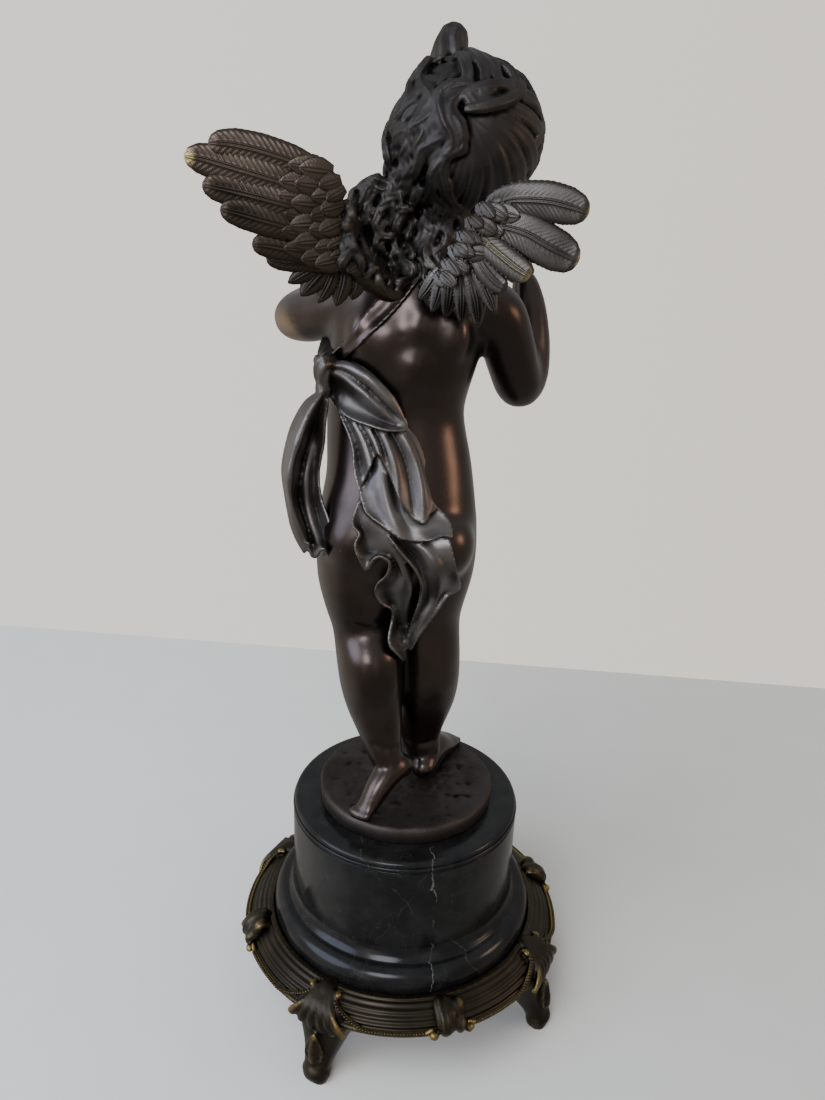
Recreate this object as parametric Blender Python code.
"""Bronze cherub with wings and a knotted sash, on a black marble plinth and a footed bronze ring.

Metres, +Z up. The cherub stands with its back to -Y and faces +Y, so its left is -X. The turned base
stands on Z = 0, and the whole is moved at the end so that the middle of its outline is at the origin.
"""
import math

import bmesh
import bpy
from mathutils import Matrix, Vector
from mathutils.bvhtree import BVHTree

MM = 0.001

# Footed ring: a reeded band with a seat for the plinth
RING_RADIUS = 89.5 * MM
RING_TOP = 51.8 * MM
RING_UNDERSIDE = 38.6 * MM
RING_BORE_RADIUS = 58 * MM
LIP_WIDTH = 3.6 * MM
SEAT_DEPTH = 4.8 * MM
SEAT_THICKNESS = 4.6 * MM
REED_COUNT = 4
REED_RELIEF = 1.1 * MM
BORDER_BEAD = 1.8 * MM

# Feet and clasps, repeated around the ring
FOOT_COUNT = 4
FIRST_FOOT_TURN = math.radians(-27)
TOE_RADIUS = 91 * MM
TOE_WIDTH = 18 * MM
SHELL_LOBES = 5
CLASP_WIDTH = 17 * MM
# What lies lower than this on a toe is pressed flat on the floor
PAD_RISE = 1.8 * MM

# Marble plinth, turned
PLINTH_HEIGHT = 76.2 * MM
PLINTH_FOOT_RADIUS = 73.6 * MM
PLINTH_WALL_RADIUS = 62.2 * MM
PLINTH_TOP_RADIUS = 59 * MM
PLINTH_FOOT_HEIGHT = 16 * MM

# Ground disc under the cherub's feet
GROUND_RADIUS = 47.5 * MM
GROUND_TOP_RADIUS = 46 * MM
GROUND_THICKNESS = 8.5 * MM

# The cherub, from the top of the ground disc to the tuft of hair
CHERUB_HEIGHT = 369 * MM

# Gap between pieces that rest on or in each other
REST_GAP = 0.3 * MM

# Facets
TURNED_SIDES = 36
CHERUB_TRIANGLES = 5450
FOOT_TRIANGLES = 170
CLASP_TRIANGLES = 54
CREASE = math.radians(35)

# How finely overlapping forms are melted into one skin, and how often that skin is smoothed:
# the ring's ornament in metres, the flesh and the whole cherub in millimetres on their sheet
ORNAMENT_GRAIN, ORNAMENT_SMOOTHING = 0.9 * MM, 2
FLESH_GRAIN, FLESH_SMOOTHING = 1.5, 7
CHERUB_GRAIN, CHERUB_SMOOTHING = 1.25, 2

# The cherub is drawn on a sheet in millimetres, on a figure 369 tall whose ground is at 132
SHEET_HEIGHT = 369.0
SHEET_GROUND = 132.0
SHARE = CHERUB_HEIGHT / SHEET_HEIGHT

# Heights that follow from the driving sizes
SEAT_LEVEL = RING_TOP - SEAT_DEPTH
PLINTH_LEVEL = SEAT_LEVEL + REST_GAP
GROUND_LEVEL = PLINTH_LEVEL + PLINTH_HEIGHT + REST_GAP
STANDING_LEVEL = GROUND_LEVEL + GROUND_THICKNESS


# Small tools for meshes

def clear_scene():
    for thing in list(bpy.data.objects):
        bpy.data.objects.remove(thing, do_unlink=True)


def spline(rows, steps):
    """Smooth rows of numbers (Catmull-Rom), with steps places from each row to the next."""
    padded = [rows[0], *rows, rows[-1]]
    smooth = []
    for i in range(len(rows) - 1):
        for k in range(steps):
            t = k / steps
            smooth.append(tuple(
                0.5 * (2 * b + (c - a) * t + (2 * a - 5 * b + 4 * c - d) * t ** 2
                       + (3 * b - a - 3 * c + d) * t ** 3)
                for a, b, c, d in zip(*padded[i:i + 4])))
    smooth.append(tuple(rows[-1]))
    return smooth


def add_closed(mesh, verts, faces):
    """Add one closed shell to a bmesh, with its faces turned outwards."""
    made = [mesh.verts.new(v) for v in verts]
    shell = [mesh.faces.new([made[i] for i in face]) for face in faces]
    bmesh.ops.recalc_face_normals(mesh, faces=shell)


def tube(mesh, rows, side=(1, 0, 0), steps=3, sides=12, flat_start=False, groove=0.0):
    """Closed tube through rows of (x, y, z, half width along side, half depth), with round ends.

    groove is the depth of a channel down the -Y face, as a share of the half depth.
    """
    rows = spline(rows, steps)
    centres = [Vector(row[:3]) for row in rows]
    side = Vector(side)
    last = len(rows) - 1
    frames = []
    for i, row in enumerate(rows):
        ahead = (centres[min(i + 1, last)] - centres[max(i - 1, 0)]).normalized()
        across = (side - ahead * side.dot(ahead)).normalized()
        frames.append((centres[i], ahead, across, ahead.cross(across), row[3], row[4]))
    rings = []
    caps = ((0.95, 0.35), (0.65, 0.78))
    centre, ahead, across, deep, a, b = frames[0]
    start_reach = 0.0 if flat_start else min(a, b)
    if not flat_start:
        for back, size in caps:
            rings.append((centre - ahead * start_reach * back, across * a * size, deep * b * size))
    for centre, ahead, across, deep, a, b in frames:
        rings.append((centre, across * a, deep * b))
    end_reach = min(a, b)
    for forward, size in reversed(caps):
        rings.append((centre + ahead * end_reach * forward, across * a * size, deep * b * size))
    verts = []
    for middle, wide, thick in rings:
        for k in range(sides):
            turn = 2 * math.pi * k / sides
            offset = wide * math.cos(turn) + thick * math.sin(turn)
            back = max(0.0, -offset.normalized().y) if groove else 0.0
            verts.append(middle + offset * (1 - groove * back ** 30))
    verts.append(frames[0][0] - frames[0][1] * start_reach)
    verts.append(centre + ahead * end_reach)
    faces = []
    for r in range(len(rings) - 1):
        for k in range(sides):
            n = (k + 1) % sides
            faces.append((r * sides + k, r * sides + n, (r + 1) * sides + n, (r + 1) * sides + k))
    top = (len(rings) - 1) * sides
    for k in range(sides):
        n = (k + 1) % sides
        faces.append((n, k, len(verts) - 2))
        faces.append((top + k, top + n, len(verts) - 1))
    add_closed(mesh, verts, faces)


def ball(mesh, centre, radii, turn=None):
    """Ellipsoid, turned by a matrix if one is given."""
    place = Matrix.Translation(centre) @ (turn.to_4x4() if turn else Matrix.Identity(4))
    place = place @ Matrix.Diagonal((*radii, 1.0))
    bmesh.ops.create_icosphere(mesh, subdivisions=3, radius=1.0, matrix=place)


def turned(mesh, outline, sides, closed):
    """Spin an outline of (radius, height) round Z. A closed outline gives a ring with a bore."""
    rings = []
    for radius, height in outline:
        if radius < 1e-9:
            rings.append([mesh.verts.new((0, 0, height))] * sides)
            continue
        rings.append([mesh.verts.new((radius * math.cos(a), radius * math.sin(a), height))
                      for a in (2 * math.pi * k / sides for k in range(sides))])
    pairs = list(zip(rings, rings[1:]))
    if closed:
        pairs.append((rings[-1], rings[0]))
    faces = []
    for low, high in pairs:
        for k in range(sides):
            n = (k + 1) % sides
            corners = list(dict.fromkeys((low[k], low[n], high[n], high[k])))
            faces.append(mesh.faces.new(corners))
    bmesh.ops.recalc_face_normals(mesh, faces=faces)


def new_object(name, mesh):
    data = bpy.data.meshes.new(name)
    mesh.to_mesh(data)
    mesh.free()
    thing = bpy.data.objects.new(name, data)
    bpy.context.scene.collection.objects.link(thing)
    return thing


def apply_modifiers(thing):
    """Turn an object's modifiers into its mesh."""
    graph = bpy.context.evaluated_depsgraph_get()
    result = bpy.data.meshes.new_from_object(thing.evaluated_get(graph))
    thing.modifiers.clear()
    thing.data = result


def fuse(thing, voxel, smoothing):
    """Melt overlapping shells into one skin and soften their joins."""
    remesh = thing.modifiers.new("melt", "REMESH")
    remesh.mode = "VOXEL"
    remesh.voxel_size = voxel
    soften = thing.modifiers.new("soften", "SMOOTH")
    soften.factor = 0.5
    soften.iterations = smoothing
    apply_modifiers(thing)


def keep_largest(thing):
    """Delete every loose shell but the largest."""
    mesh = bmesh.new()
    mesh.from_mesh(thing.data)
    left = set(mesh.verts)
    shells = []
    while left:
        shell, edge = set(), [left.pop()]
        while edge:
            vert = edge.pop()
            shell.add(vert)
            for link in vert.link_edges:
                other = link.other_vert(vert)
                if other in left:
                    left.remove(other)
                    edge.append(other)
        shells.append(shell)
    largest = max(shells, key=len)
    bmesh.ops.delete(mesh, geom=[v for v in mesh.verts if v not in largest], context="VERTS")
    mesh.to_mesh(thing.data)
    mesh.free()


def facet(thing, triangles):
    """Reduce a skin to about this many triangles."""
    thing.data.calc_loop_triangles()
    reduce = thing.modifiers.new("facet", "DECIMATE")
    reduce.ratio = min(1.0, triangles / len(thing.data.loop_triangles))
    apply_modifiers(thing)


def weld(thing, other):
    """Union with another object, which then is removed."""
    union = thing.modifiers.new("union", "BOOLEAN")
    union.operation = "UNION"
    union.object = other
    other.hide_render = True
    other.display_type = "WIRE"
    apply_modifiers(thing)
    keep_largest(thing)
    bpy.data.objects.remove(other, do_unlink=True)


def paint(thing, name, colour, metallic, roughness):
    material = bpy.data.materials.new(name)
    material.use_nodes = True
    shader = material.node_tree.nodes["Principled BSDF"]
    shader.inputs["Base Color"].default_value = (*colour, 1.0)
    shader.inputs["Metallic"].default_value = metallic
    shader.inputs["Roughness"].default_value = roughness
    thing.data.materials.clear()
    thing.data.materials.append(material)


# Footed ring

def ring_outline():
    """Closed outline of the band: seat, wall round the plinth, lip, reeds, border bead, underside."""
    seat_radius = PLINTH_FOOT_RADIUS + REST_GAP
    lip_end = seat_radius + LIP_WIDTH
    outline = [(RING_BORE_RADIUS, SEAT_LEVEL), (seat_radius, SEAT_LEVEL), (seat_radius, RING_TOP),
               (lip_end, RING_TOP)]
    bead_top = RING_UNDERSIDE + 2 * BORDER_BEAD
    run = RING_RADIUS - BORDER_BEAD - lip_end
    fall = RING_TOP - bead_top
    for k in range(2 * REED_COUNT):
        along = (k + 0.5) / (2 * REED_COUNT)
        relief = REED_RELIEF if k % 2 else -REED_RELIEF * 0.4
        belly = math.sin(math.pi * along) * run * 0.12
        outline.append((lip_end + run * along + (relief + belly) * 0.7,
                        RING_TOP - fall * along + (relief + belly) * 0.7))
    outline += [(RING_RADIUS - BORDER_BEAD, bead_top), (RING_RADIUS, RING_UNDERSIDE + 1.2 * BORDER_BEAD),
                (RING_RADIUS - 0.4 * BORDER_BEAD, RING_UNDERSIDE),
                (RING_RADIUS - 3 * BORDER_BEAD, RING_UNDERSIDE),
                (RING_BORE_RADIUS, SEAT_LEVEL - SEAT_THICKNESS)]
    return outline


def foot_shape():
    """One foot with its shell, drawn at -Y: a toe on the floor, a bracket and a fan of lobes."""
    mesh = bmesh.new()
    half = TOE_WIDTH / 2
    unit = TOE_WIDTH / 18
    rise = RING_UNDERSIDE
    bracket = [
        (0, -TOE_RADIUS, 0, half * 0.75, half * 0.61),
        (0, -TOE_RADIUS, rise * 0.10, half, half * 0.8),
        (0, -TOE_RADIUS + 0.5 * unit, rise * 0.22, half * 0.98, half * 0.8),
        (0, -TOE_RADIUS + 3.5 * unit, rise * 0.36, half * 0.9, half * 0.78),
        (0, -TOE_RADIUS + 6.5 * unit, rise * 0.55, half, half),
        (0, -TOE_RADIUS + 8.5 * unit, rise * 0.76, half * 1.3, half * 1.28),
        (0, -TOE_RADIUS + 10 * unit, rise * 0.94, half * 1.8, half * 1.33),
        (0, -TOE_RADIUS + 11 * unit, rise * 1.06, half * 2.1, half),
    ]
    tube(mesh, bracket, steps=2, sides=16, flat_start=True)
    # The back of the shell, which closes the gaps between its lobes
    ball(mesh, (0, -RING_RADIUS + 4 * unit, rise + 0.5 * unit), (21 * unit, 5.5 * unit, 6 * unit))
    lip = PLINTH_FOOT_RADIUS + REST_GAP + LIP_WIDTH
    for k in range(SHELL_LOBES):
        fan = 2 * k / (SHELL_LOBES - 1) - 1
        drop = 4 * unit * (1 - abs(fan))
        lobe = [
            (fan * 4.5 * unit, -lip - 0.5 * unit, RING_TOP + 0.3 * unit, 1.5 * unit, 1.5 * unit),
            (fan * 8 * unit, -lip - 5 * unit, RING_TOP - 2 * unit, 2.6 * unit, 2.4 * unit),
            (fan * 15 * unit, -RING_RADIUS, rise + 6 * unit - drop, 3.9 * unit, 3 * unit),
            (fan * 20 * unit, -RING_RADIUS + unit, rise + unit - drop, 3.2 * unit, 2.6 * unit),
        ]
        tube(mesh, lobe, steps=2, sides=8)
    for hand in (-1, 1):
        scroll = [
            (hand * 10.5 * unit, -lip - 0.5 * unit, RING_TOP + 0.2 * unit, 2.4 * unit, 2.2 * unit),
            (hand * 8.5 * unit, -lip - 4 * unit, RING_TOP - 1.5 * unit, 1.6 * unit, 1.6 * unit),
            (hand * 12.5 * unit, -RING_RADIUS + 4 * unit, rise + 6.5 * unit, 2.4 * unit, 2.6 * unit),
            (hand * 24 * unit, -RING_RADIUS + 4.4 * unit, rise + 2.4 * unit, 2.2 * unit, 2.2 * unit),
        ]
        tube(mesh, scroll, steps=2, sides=8)
    drop_leaf = [
        (0, -TOE_RADIUS - 1.5 * unit, rise * 0.86, 2 * unit, 3 * unit),
        (0, -TOE_RADIUS + 0.5 * unit, rise * 0.6, 4 * unit, 3.6 * unit),
        (0, -TOE_RADIUS - unit, rise * 0.4, 3 * unit, 3 * unit),
    ]
    tube(mesh, drop_leaf, steps=2, sides=8)
    return mesh


def clasp_shape():
    """One ribbon clasp, drawn at -Y: two fat folds side by side over the band."""
    mesh = bmesh.new()
    unit = CLASP_WIDTH / 17
    lip = PLINTH_FOOT_RADIUS + REST_GAP + LIP_WIDTH
    for hand, reach in ((-1, 1.0), (1, 0.9)):
        middle = hand * CLASP_WIDTH * 0.24
        fold = [
            (middle * 0.6, -lip - unit, RING_TOP - 0.5 * unit, 2.5 * unit, 2 * unit),
            (middle, -lip - 5.5 * unit * reach, RING_TOP - 2.2 * unit, 4.6 * unit, 5.4 * unit),
            (middle * 1.1, -RING_RADIUS + 1.4 * unit, RING_TOP - 7 * unit, 4.9 * unit, 5.2 * unit),
            (middle * 1.3, -RING_RADIUS + 0.5 * unit, RING_UNDERSIDE + 2 * unit, 3.7 * unit, 2.8 * unit),
        ]
        tube(mesh, fold, steps=2, sides=10)
    return mesh


def ring_ornament(name, mesh, triangles):
    """Melt an ornament into one skin, facet it, and press its foot flat on the floor."""
    ornament = new_object(name, mesh)
    fuse(ornament, ORNAMENT_GRAIN, ORNAMENT_SMOOTHING)
    keep_largest(ornament)
    facet(ornament, triangles)
    for vert in ornament.data.vertices:
        if vert.co.z < PAD_RISE:
            vert.co.z = 0.0
    return ornament


def build_ring():
    mesh = bmesh.new()
    turned(mesh, ring_outline(), TURNED_SIDES, closed=True)
    ring = new_object("footed_ring", mesh)
    patterns = (
        (ring_ornament("foot", foot_shape(), FOOT_TRIANGLES), 0.0),
        (ring_ornament("clasp", clasp_shape(), CLASP_TRIANGLES), math.pi / FOOT_COUNT),
    )
    for pattern, offset in patterns:
        for k in range(FOOT_COUNT):
            turn = FIRST_FOOT_TURN + offset + 2 * math.pi * k / FOOT_COUNT
            copy = bpy.data.objects.new("copy", pattern.data.copy())
            bpy.context.scene.collection.objects.link(copy)
            copy.data.transform(Matrix.Rotation(turn, 4, "Z"))
            weld(ring, copy)
        bpy.data.objects.remove(pattern, do_unlink=True)
    paint(ring, "antique bronze", (0.10, 0.075, 0.04), 1.0, 0.42)
    return ring


# Marble plinth

def build_plinth():
    """Turned drum: torus foot, step and cove up to the wall, then groove, bead and round shoulder."""
    low = PLINTH_LEVEL
    top = PLINTH_LEVEL + PLINTH_HEIGHT
    flare = PLINTH_FOOT_RADIUS - PLINTH_WALL_RADIUS
    foot = PLINTH_FOOT_HEIGHT
    outline = [(0, low), (PLINTH_FOOT_RADIUS, low)]
    for turn in (0, 25, 50, 75, 95):
        bend = math.radians(turn)
        outline.append((PLINTH_FOOT_RADIUS - flare * 0.62 * (1 - math.cos(bend)),
                        low + foot * (0.42 + 0.56 * math.sin(bend))))
    step = PLINTH_WALL_RADIUS + flare * 0.26
    outline += [(step, low + foot), (PLINTH_WALL_RADIUS + flare * 0.08, low + foot * 1.16),
                (PLINTH_WALL_RADIUS, low + foot * 1.42)]
    outline += [(PLINTH_WALL_RADIUS, top - 6 * MM), (PLINTH_WALL_RADIUS - 0.7 * MM, top - 5.4 * MM),
                (PLINTH_WALL_RADIUS, top - 4.1 * MM), (PLINTH_WALL_RADIUS - 0.6 * MM, top - 2.6 * MM),
                (PLINTH_TOP_RADIUS + 1.4 * MM, top - 0.9 * MM), (PLINTH_TOP_RADIUS, top), (0, top)]
    mesh = bmesh.new()
    turned(mesh, outline, TURNED_SIDES, closed=False)
    plinth = new_object("marble_plinth", mesh)
    paint(plinth, "polished black marble", (0.012, 0.012, 0.014), 0.0, 0.1)
    return plinth


# The cherub's body, on the sheet

def add_torso_and_legs(mesh):
    torso = [
        (-9.5, 1, 252, 34, 22), (-9.2, 0, 262, 38, 27), (-9.2, -2, 276, 39.5, 29), (-9, -1, 290, 38.5, 28.5),
        (-9.2, 2, 307, 36, 26.5), (-11.3, 4.5, 325, 34, 25), (-12, 5, 339, 33, 24.3), (-10.5, 3.5, 352, 33.5, 24.5),
        (-8.5, 1.5, 366, 35, 25), (-7, 1, 379, 36, 23.5), (-5.5, 1, 389, 32, 21), (-3.5, 2, 398, 23.5, 18.5),
        (-1, 4, 405, 17.5, 16.5), (2.5, 5, 413, 15.5, 15.5), (7, 7, 425, 15, 15), (12, 8, 440, 15, 15),
    ]
    tube(mesh, torso, steps=2, sides=32, groove=0.16)
    left_leg = [
        (-27, -1, 288, 18, 21), (-29, -2, 272, 20, 23.5), (-29, -3, 256, 20, 22.5), (-26.5, -5, 240, 18.3, 20),
        (-24.2, -6, 228, 17, 17.6), (-21.5, -8, 212, 16.8, 17.5), (-20, -10.5, 198, 16.2, 16.5),
        (-17.8, -13.5, 186, 14.6, 15), (-15.3, -16.5, 176, 12.6, 13), (-13.2, -19, 167, 10.6, 11.2),
        (-11.3, -21, 160, 9.2, 9.8), (-8.5, -22, 154, 8.3, 8.5),
    ]
    right_leg = [
        (11, 0, 288, 19, 21.5), (11, 1, 270, 20.2, 23.5), (10.5, 2, 256, 19.6, 22.5), (9.3, 3, 242, 17.8, 20),
        (8.8, 4, 229, 16.3, 17.6), (9.6, 4.5, 212, 16.5, 17.5), (10.6, 5, 197, 16.2, 17),
        (10.8, 5.5, 184, 15, 15.5), (10.2, 6, 172, 12.6, 13.5), (9.8, 6, 160, 9.6, 10.5),
        (9.9, 5.5, 150, 8.6, 9.5), (10, 4.5, 142, 8.2, 9),
    ]
    for leg in (left_leg, right_leg):
        tube(mesh, leg, steps=3, sides=16)
    for x, y, knee in ((-27.5, 7.5, (-25, 6.5, 232)), (10, 7.5, (9, 15.5, 231))):
        ball(mesh, (x, -15.5, 275), (19.3, 18.5, 19.5))
        ball(mesh, (x, y, 262), (16.5, 17.5, 17))
        ball(mesh, knee, (10, 7.5, 11))
    ball(mesh, (-10, 13.5, 318), (27, 19.5, 30))
    for x, z in ((-25, 371), (10, 372)):
        ball(mesh, (x, 15, z), (13, 11, 11))
        ball(mesh, (x + 1, -14, z + 3), (11, 9.5, 14))


def add_feet(mesh):
    left = [(-4, -21.5, 153.5, 6.5, 7), (-10, -25, 150, 8, 8.2), (-16, -29.5, 145, 8.6, 7.2),
            (-21, -33.5, 139.5, 8.8, 5.4), (-24, -36, 135.8, 7.6, 3.8)]
    right = [(9.5, -1, 139.5, 7.5, 7.2), (11.5, 6, 141, 8.6, 9), (15, 15, 141.5, 9.2, 9),
             (19, 25, 138, 9.8, 6.4), (22.5, 33, 136, 9.2, 4.2)]
    for foot, side in ((left, (0.5, -0.86, 0)), (right, (0.93, -0.37, 0))):
        tube(mesh, foot, side=side, steps=3, sides=12)
        ball_of_foot = Vector(foot[-1][:3])
        ahead = (ball_of_foot - Vector(foot[-2][:3])).normalized()
        ahead.z = 0
        across = Vector(side)
        for k in range(5):
            spread = (k - 2) * 3.4
            reach = 5.5 - 0.7 * abs(k - 1.4)
            toe = ball_of_foot + across * spread + ahead.normalized() * reach
            toe.z = SHEET_GROUND + 2.6
            ball(mesh, toe, (2.3, 2.3, 2.6) if k else (3, 3, 3.2))


def add_arms(mesh):
    right_upper = [(24, 2, 387, 14, 14), (33, 4, 383, 14, 14), (38.5, 8, 373, 13.2, 13.2),
                   (43, 12.5, 361, 12.8, 12.8), (47.5, 18.5, 349, 12.2, 12.2)]
    right_fore = [(49.5, 21.5, 348.5, 11.8, 11.8), (52, 26, 356, 11.8, 11.5), (52.6, 30, 369, 10.8, 10.5),
                  (51.5, 34, 384, 9.2, 8.8), (49, 37.5, 395, 7.6, 7.2)]
    left_upper = [(-28, 2, 386, 14, 14), (-37, 7, 384, 13.6, 13.6), (-47, 14, 380, 13, 13),
                  (-56, 21, 377, 12.6, 12.6), (-61.5, 27, 376, 12, 12)]
    left_fore = [(-62, 28, 376, 12, 12), (-54, 34, 380.5, 11.6, 11.6), (-43, 39, 387, 10.4, 10.4),
                 (-31, 43, 394, 8.8, 8.6), (-21, 45, 400, 7.6, 7)]
    for limb in (right_upper, right_fore, left_upper, left_fore):
        tube(mesh, limb, side=(0, 1, 0.3), steps=3, sides=14)
    add_hand(mesh, (47, 39.5, 400), (37, 45, 409.5), (19, 45.5, 417))
    add_hand(mesh, (-18, 46, 402), (-7, 48.5, 409), (12, 47.5, 416))


def add_hand(mesh, wrist, knuckles, tip):
    """A plump hand held upright: palm, thumb and four fingers that curl towards the tip."""
    wrist, knuckles, tip = Vector(wrist), Vector(knuckles), Vector(tip)
    up = Vector((0, 0.25, 1)).normalized()
    palm = [(*wrist, 7, 6), (*wrist.lerp(knuckles, 0.55), 8.8, 5.6), (*knuckles, 8.4, 4.6)]
    tube(mesh, palm, side=up, steps=2, sides=12)
    for k in range(4):
        spread = (1.5 - k) * 3.7
        reach = (0.92, 1.0, 0.95, 0.8)[k]
        base = knuckles + up * spread
        end = knuckles.lerp(tip, reach) + up * spread * 0.75
        middle = base.lerp(end, 0.55) + Vector((0, 1.6, 0.6))
        tube(mesh, [(*base, 2.3, 2.3), (*middle, 2.2, 2.2), (*end, 1.7, 1.7)], side=up, steps=2, sides=8)
    thumb_end = wrist.lerp(knuckles, 0.9) + Vector((0, -5.5, 7))
    tube(mesh, [(*wrist.lerp(knuckles, 0.2), 3, 3), (*thumb_end, 2.2, 2.2)], side=up, steps=3, sides=8)


# The head turns towards the cherub's right shoulder, and every head point is given along these
HEAD_CENTRE = Vector((13.5, 7, 453))
HEAD_TURN = Matrix.Rotation(math.radians(-20), 3, "Z") @ Matrix.Rotation(math.radians(-8), 3, "Y")
HAIR_CENTRE = HEAD_CENTRE + Vector((-1.2, -3.8, 2.5))
HAIR_RADIUS = 31.5


def on_head(right, forward, up):
    return HEAD_CENTRE + HEAD_TURN @ Vector((right, forward, up))


def on_hair(round_head, up, lift=0.0):
    """A place on the cap of hair: degrees round from the face towards the right ear, and up."""
    a, e = math.radians(round_head), math.radians(up)
    aim = Vector((math.sin(a) * math.cos(e), math.cos(a) * math.cos(e), math.sin(e)))
    return HAIR_CENTRE + HEAD_TURN @ aim * (HAIR_RADIUS + lift)


def add_head(mesh):
    ball(mesh, HEAD_CENTRE, (27, 30, 32), HEAD_TURN)
    ball(mesh, on_head(0, 12, -19), (19, 17, 13), HEAD_TURN)
    ball(mesh, on_head(0, 25, -26), (7, 6, 5.5), HEAD_TURN)
    for hand in (-1, 1):
        ball(mesh, on_head(hand * 12.5, 19, -13), (11, 10, 10.5), HEAD_TURN)
        ball(mesh, on_head(hand * 10, 26.5, -2), (5.2, 3.2, 3.2), HEAD_TURN)
        ball(mesh, on_head(hand * 10, 26, 4.5), (7.5, 4, 2.6), HEAD_TURN)
        ball(mesh, on_head(hand * 3.2, 31, -11.5), (2.4, 2.6, 2.2), HEAD_TURN)
    nose = [(*on_head(0, 28.5, 3), 2.6, 2.4), (*on_head(0, 30.5, -4), 2.6, 2.6),
            (*on_head(0, 33.5, -10.5), 3.2, 3)]
    tube(mesh, nose, steps=2, sides=10)
    ball(mesh, on_head(0, 29.6, -17.6), (6.5, 3, 1.8), HEAD_TURN)
    ball(mesh, on_head(0, 29, -20.8), (5.2, 3, 1.9), HEAD_TURN)


# Hair, wings and cloth are laid on the skin from behind

class Skin:
    """Finds the skin's depth at a place (x, z) seen from behind."""

    def __init__(self, mesh):
        self.tree = BVHTree.FromBMesh(mesh)

    def at(self, x, z, lift, otherwise=0.0):
        hit = self.tree.ray_cast(Vector((x, -200, z)), Vector((0, 1, 0)))
        depth = hit[0].y if hit[0] else otherwise
        return Vector((x, depth - lift, z))


def add_lock(mesh, guide, radius, wave, waves, phase=0.0):
    """A wavy lock of hair that tapers along its guide."""
    rows = spline([tuple(point) for point in guide], 5)
    last = len(rows) - 1
    stations = []
    for i, row in enumerate(rows):
        along = i / last
        sway = math.sin(2 * math.pi * waves * along + phase) * wave
        size = radius * (0.55 + 0.45 * math.sin(math.pi * (0.15 + 0.75 * along)))
        stations.append((row[0] + sway, row[1], row[2] + sway * 0.3, size, size * 0.9))
    tube(mesh, stations, side=(1, 0, 0.2), steps=1, sides=7)


def add_hair(mesh, skin):
    for k in range(10):
        # Combed strands, from the curls at the back of the head out to the right side and the nape
        angle = math.radians(40 - 15 * k)
        strand = []
        for along in (12, 35, 60, 85, 108, 128):
            bend = math.radians(along)
            aim = Vector((math.sin(bend) * math.cos(angle) + 0.05, -math.cos(bend),
                          math.sin(bend) * math.sin(angle) + 0.1)).normalized()
            centre = HAIR_CENTRE + aim * (HAIR_RADIUS - 0.6)
            strand.append((*centre, 1.5 + 2.7 * math.sin(bend), 3.8))
        tube(mesh, strand, side=(math.sin(angle), 0, -math.cos(angle)), steps=2, sides=8)
    # Curls that fall from the crown down the left of the head and over the back, as (x, z) from behind
    guides = [
        [(0, 487), (-8, 474), (-16, 459), (-18, 444), (-15, 431), (-22, 420), (-29, 409)],
        [(3, 485), (-3, 470), (-9, 455), (-11, 440), (-14, 428), (-22, 415), (-28, 402), (-23, 393)],
        [(6, 482), (3, 467), (-3, 452), (-5, 438), (-8, 425), (-14, 412), (-18, 399), (-13, 390)],
        [(10, 478), (9, 463), (4, 449), (2, 434), (0, 420), (-5, 408), (-8, 396), (-4, 388)],
        [(13, 470), (12, 456), (9, 441), (8, 427), (6, 414), (2, 402), (1, 391)],
        [(15, 458), (15, 446), (14, 432), (13, 420), (11, 408), (9, 398), (8, 389)],
        [(-18, 425), (-27, 420), (-33, 410), (-31, 399)],
        [(-12, 420), (-20, 408), (-24, 398), (-17, 388)],
    ]
    for k, guide in enumerate(guides):
        points = [skin.at(x, z, 2.2, 2.0) for x, z in guide]
        add_lock(mesh, points, 4.6, 2.4, len(guide) * 0.45, phase=k * 1.3)
    # Waves that frame the face, from the parting down to the ears and the nape
    for hand, rows in ((-1, 4), (1, 3)):
        for row in range(rows):
            start = 5 + 4 * row
            guide = [on_hair(hand * (start + (62 + 20 * row) * along ** 0.8), 82 - 125 * along, 0.6)
                     for along in (0, 0.2, 0.4, 0.6, 0.8, 1.0)]
            add_lock(mesh, guide, 5.0, 1.5, 2.2, phase=row * 1.5 + hand)
    # Strands from the forelock over the crown, the loop of ribbon, and the tuft
    for k in range(4):
        guide = [on_hair(hand_turn, up, 0.8) for hand_turn, up in
                 ((60 + 25 * k, 80), (90 + 14 * k, 62), (104 + 12 * k, 44), (112 + 11 * k, 30))]
        add_lock(mesh, guide, 4.0, 0.0, 1.0)
    loop = [(14, 470), (21, 477), (31, 477), (36, 472), (28, 468), (20, 465)]
    add_lock(mesh, [skin.at(x, z, 3.0, -6.0) for x, z in loop], 3.4, 0.0, 1.0)
    tuft = [(3, 4, 480, 8.5, 9), (4, 5, 487, 7.2, 8.5), (5.5, 5.5, 494.5, 5.8, 6.5)]
    tube(mesh, tuft, steps=3, sides=12)


def add_feather(mesh, root, tip, width, thickness=1.5):
    """A flat blade with a round tip, broadest past its middle."""
    root, tip = Vector(root), Vector(tip)
    ahead = (tip - root).normalized()
    face = Vector((0, -1, 0))
    side = ahead.cross(face).normalized()
    rows = []
    for along, share in ((0, 0.5), (0.3, 0.85), (0.62, 1.0), (0.85, 0.86), (0.96, 0.5)):
        bow = math.sin(math.pi * along) * 1.6
        place = root.lerp(tip, along) + face * bow
        rows.append((*place, width / 2 * share, thickness * (1 - 0.35 * along)))
    tube(mesh, rows, side=side, steps=2, sides=10)


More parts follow.
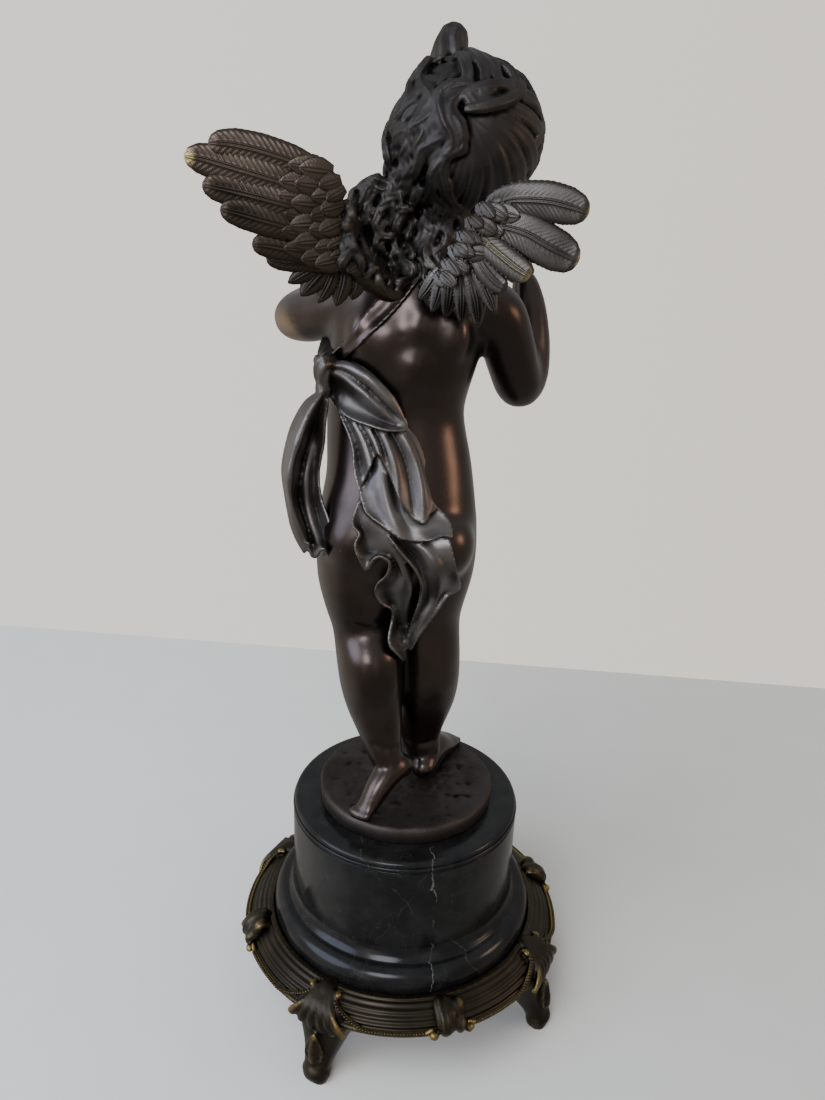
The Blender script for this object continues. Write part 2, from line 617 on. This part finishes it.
def add_wing(mesh, arm, feathers):
    """A wing: a thick leading edge and feathers of (root x, z, depth, tip x, z, depth, width)."""
    tube(mesh, arm, steps=2, sides=10)
    for root_x, root_z, root_y, tip_x, tip_z, tip_y, width in feathers:
        add_feather(mesh, (root_x, root_y, root_z), (tip_x, tip_y, tip_z), width)


def add_wings(mesh):
    left_arm = [(-12, -16, 392, 6, 6), (-27, -28, 402, 6, 6), (-33, -33, 417, 5, 4.5), (-37, -36, 432, 4.5, 3.8),
                (-42, -38, 442, 4, 3)]
    left = [
        (-37, 438, -37, -87, 449.5, -46, 15), (-36, 432, -36, -97, 443, -46.5, 13.5),
        (-36, 427, -35, -90, 434, -46, 12.5), (-35, 421, -34, -84, 424.5, -45, 12.5),
        (-33, 415, -33, -71, 411.5, -42, 11.5), (-31, 409, -32, -62, 404.5, -39, 11),
        (-29, 405, -31, -57, 396, -35, 10), (-27, 403, -30, -48, 388, -32, 10),
        (-25, 402, -29, -39, 384, -30, 9.5), (-20, 400, -28, -30, 383, -29, 9),
    ]
    right_arm = [(4, -16, 390, 6, 6), (14, -25, 401, 5.5, 5.5), (19, -30, 412, 4.6, 4.2), (24, -33, 424, 4, 3.6),
                 (29, -34, 431, 3.4, 2.8)]
    right = [
        (23, 427, -34, 65, 428, -43, 18.5), (22, 421, -33, 62, 412, -42, 15.5),
        (20, 414, -32, 43, 402, -39, 12), (18, 409, -31, 34, 398, -37, 10.5),
        (15, 405, -30, 28, 391, -34, 10), (14, 402, -29, 31, 385, -31, 9), (12, 400, -28, 25, 379, -29, 9),
        (9, 399, -27, 17, 381, -28, 9), (5, 398, -27, 10, 382, -28, 9), (0, 397, -27, 2, 384, -28, 9),
    ]
    for arm, feathers, hand in ((left_arm, left, -1), (right_arm, right, 1)):
        add_wing(mesh, arm, feathers)
        for root_x, root_z, root_y, tip_x, tip_z, tip_y, width in feathers[:6]:
            # A short covert lies on each long feather's root
            reach = 0.38 if hand < 0 else 0.28
            tip = (root_x + (tip_x - root_x) * reach, root_y + (tip_y - root_y) * reach - 2.6,
                   root_z + (tip_z - root_z) * reach)
            add_feather(mesh, (root_x, root_y - 2, root_z), tip, width * 0.7, 1.6)


def add_cloth(mesh, skin, left, right, folds, relief, lift, thickness=1.5, phase=0.0, depth=None):
    """A fold of cloth between two edges given as (x, z), laid on the skin or hung at a depth."""
    rows, columns = 9, 4 * max(1, folds) + 1
    left = spline([tuple(p) for p in left], 6)
    right = spline([tuple(p) for p in right], 6)
    front, back = [], []
    for i in range(rows):
        along = i / (rows - 1)
        a = left[round(along * (len(left) - 1))]
        b = right[round(along * (len(right) - 1))]
        for j in range(columns):
            across = j / (columns - 1)
            x, z = (a[k] + (b[k] - a[k]) * across for k in range(2))
            wave = math.sin(2 * math.pi * folds * across + phase) * relief * (0.35 + 0.65 * along)
            place = skin.at(x, z, lift, -20.0) if depth is None else Vector((x, depth, z))
            front.append(place - Vector((0, wave + thickness, 0)))
            back.append(place - Vector((0, wave - thickness, 0)))
    faces = []
    count = rows * columns
    for i in range(rows - 1):
        for j in range(columns - 1):
            a = i * columns + j
            quad = (a, a + 1, a + columns + 1, a + columns)
            faces.append(quad)
            faces.append(tuple(count + k for k in reversed(quad)))
    rim = list(range(columns))
    rim += [i * columns + columns - 1 for i in range(1, rows)]
    rim += [(rows - 1) * columns + j for j in range(columns - 2, -1, -1)]
    rim += [i * columns for i in range(rows - 2, 0, -1)]
    for a, b in zip(rim, rim[1:] + rim[:1]):
        faces.append((b, a, count + a, count + b))
    add_closed(mesh, front + back, faces)


def add_sash(mesh, skin):
    """The sash over the back, its knot on the left hip, and the folds of its two tails."""
    add_cloth(mesh, skin, [(-5, 400), (-19, 392), (-27, 382), (-35, 371), (-43, 363)],
              [(2, 396), (-11, 387), (-22, 376), (-31, 367), (-40, 359)], 1, 0.8, 0.8)
    ball(mesh, (-44, -16, 358), (6, 8, 7.5))
    front_band = [(-44, -10, 360, 4, 5), (-43, 8, 366, 2.5, 6), (-34, 24, 374, 2.5, 6), (-18, 30, 383, 2.5, 6),
                  (2, 27, 391, 2.5, 6), (16, 18, 396, 2.5, 6), (20, 4, 399, 2.5, 6), (10, -12, 399, 2.5, 6)]
    tube(mesh, front_band, side=(0.2, 1, 0), steps=3, sides=8)
    add_cloth(mesh, skin, [(-43, 361), (-41, 350), (-33, 340), (-22, 336), (-12, 335), (-6, 336)],
              [(-40, 364), (-30, 364), (-21, 361), (-13, 354), (-8, 346), (-5, 338)], 1, 2.0, 5.5)
    add_cloth(mesh, skin, [(-43, 357), (-36, 336), (-31, 322), (-27, 309)],
              [(-34, 352), (-14, 338), (0, 326), (3, 318)], 3, 2.4, 4.0)
    add_cloth(mesh, skin, [(-28, 322), (-24, 305), (-17, 294), (-9, 287)],
              [(-4, 340), (4, 318), (10, 302), (15, 289)], 3, 2.6, 4.5, phase=0.8)
    add_cloth(mesh, skin, [(-27, 310), (-28, 290), (-28, 279), (-22, 268), (-17, 257), (-11, 244), (-9, 231),
                           (-5, 223)],
              [(6, 302), (14, 290), (17, 274), (21, 263), (15, 255), (9, 244), (2, 233), (-3, 226)],
              3, 2.8, 3.0, phase=2.0)
    hanging = (
        ([(-46, 350), (-54, 341), (-60, 328), (-64, 314), (-63, 300), (-60, 282), (-56, 271)],
         [(-44, 348), (-48, 334), (-53, 318), (-55, 300), (-54, 285), (-50, 268)], -17),
        ([(-46, 348), (-53, 334), (-57, 318), (-58, 300), (-56, 284), (-53, 272)],
         [(-43, 346), (-44, 330), (-47, 314), (-48, 300), (-46, 285), (-40, 270)], -9),
    )
    for left, right, depth in hanging:
        add_cloth(mesh, skin, left, right, 1, 2.5, 0.0, thickness=1.8, depth=depth)
    bridge = [(-44, -14, 352, 4.5, 5), (-50, -13, 340, 4.5, 5), (-56, -13, 318, 2.6, 4.5)]
    tube(mesh, bridge, steps=3, sides=8)


# The whole cherub

def build_cherub():
    body = bmesh.new()
    add_torso_and_legs(body)
    add_feet(body)
    add_arms(body)
    add_head(body)
    flesh = new_object("flesh", body)
    fuse(flesh, FLESH_GRAIN, FLESH_SMOOTHING)

    mesh = bmesh.new()
    mesh.from_mesh(flesh.data)
    bpy.data.objects.remove(flesh, do_unlink=True)
    ball(mesh, HAIR_CENTRE, (HAIR_RADIUS,) * 3)
    skin = Skin(mesh)
    add_hair(mesh, skin)
    add_wings(mesh)
    add_sash(mesh, skin)
    cherub = new_object("cherub_figure", mesh)
    fuse(cherub, CHERUB_GRAIN, CHERUB_SMOOTHING)
    keep_largest(cherub)
    facet(cherub, CHERUB_TRIANGLES)
    cherub.data.transform(Matrix.Translation((0, 0, -SHEET_GROUND)))
    cherub.data.transform(Matrix.Scale(SHARE, 4))
    cherub.data.transform(Matrix.Translation((0, 0, STANDING_LEVEL)))

    ground = bmesh.new()
    outline = [(0, GROUND_LEVEL), (GROUND_RADIUS, GROUND_LEVEL),
               (GROUND_RADIUS, GROUND_LEVEL + GROUND_THICKNESS * 0.5),
               (GROUND_TOP_RADIUS, STANDING_LEVEL), (0, STANDING_LEVEL)]
    turned(ground, outline, TURNED_SIDES, closed=False)
    weld(cherub, new_object("ground", ground))
    paint(cherub, "patinated bronze", (0.055, 0.035, 0.025), 1.0, 0.32)
    return cherub


def centre_outline(things):
    """Move everything sideways so that the middle of the whole outline is over the origin."""
    corners = [vert.co for thing in things for vert in thing.data.vertices]
    middle = [-(min(c[i] for c in corners) + max(c[i] for c in corners)) / 2 for i in range(2)]
    for thing in things:
        thing.data.transform(Matrix.Translation((*middle, 0)))


def main():
    clear_scene()
    pieces = [build_ring(), build_plinth(), build_cherub()]
    centre_outline(pieces)
    for piece in pieces:
        piece.data.shade_smooth()
        piece.data.set_sharp_from_angle(angle=CREASE)


main()
